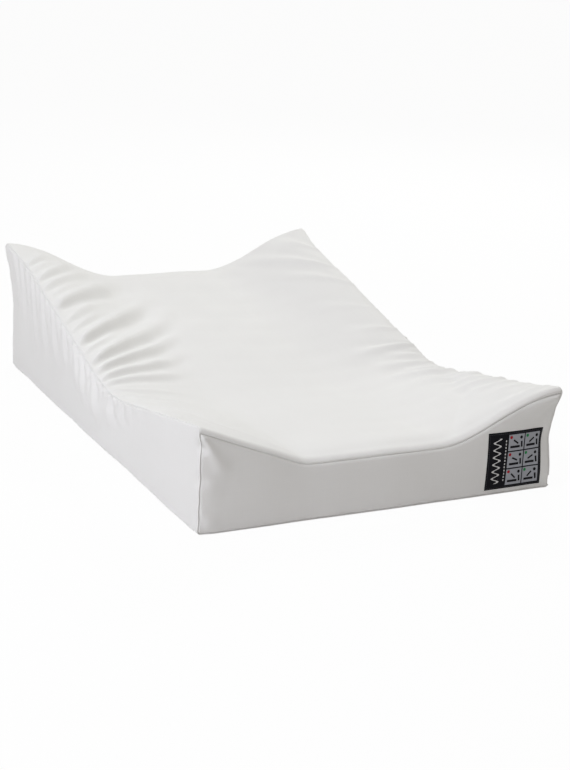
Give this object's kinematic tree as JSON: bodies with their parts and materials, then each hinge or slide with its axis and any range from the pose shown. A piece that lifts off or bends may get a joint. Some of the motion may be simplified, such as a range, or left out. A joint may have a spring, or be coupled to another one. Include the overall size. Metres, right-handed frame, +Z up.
{
  "type": "changing pad",
  "caption": "Wedge-ended changing pad: a saddle-shaped foam cushion with raised long sides in a sewn white cotton cover with a woven badge and a zip along one foot.",
  "frame": {"origin": "centre of the underside, on the surface the pad lies on", "axes": "+Z up; +Y along the pad's length, from the low badge end to the high end; +X towards the zip side, on the right seen from the low end"},
  "size_m": [0.5045, 0.7506, 0.1962],
  "materials": {
    "cover_cloth": "matte",
    "foam": "matte",
    "elastic": "matte",
    "badge_weave": "matte",
    "zip_tape": "matte",
    "zip_coil": "satin",
    "zip_metal": "satin"
  },
  "bodies": {
    "pad": {"foam_core": "foam", "top_panel": "cover_cloth", "front_panel": "cover_cloth", "rear_panel": "cover_cloth", "left_panel": "cover_cloth", "right_panel": "cover_cloth", "base_panel": "cover_cloth", "left_elastic": "elastic", "right_elastic": "elastic", "badge": "badge_weave", "zip_facing": "cover_cloth", "zip_tape_upper": "zip_tape", "zip_tape_lower": "zip_tape", "zip_coil_upper": "zip_coil", "zip_coil_lower": "zip_coil", "zip_top_stop_upper": "zip_coil", "zip_top_stop_lower": "zip_coil", "zip_bottom_stop": "zip_coil"},
    "slider": {"zip_slider": "zip_metal"},
    "pull": {"zip_pull": "zip_metal"}
  },
  "joints": [
    {"name": "zip_slide", "type": "slide", "parent": "pad", "child": "slider", "axis": [0, 1, 0], "range_m": [0, 0.723]},
    {"name": "pull_swing", "type": "hinge", "parent": "slider", "child": "pull", "pos_m": [0.2532, -0.361, 0.01], "axis": [0, 0, -1], "range_deg": [0, 178]}
  ]
}
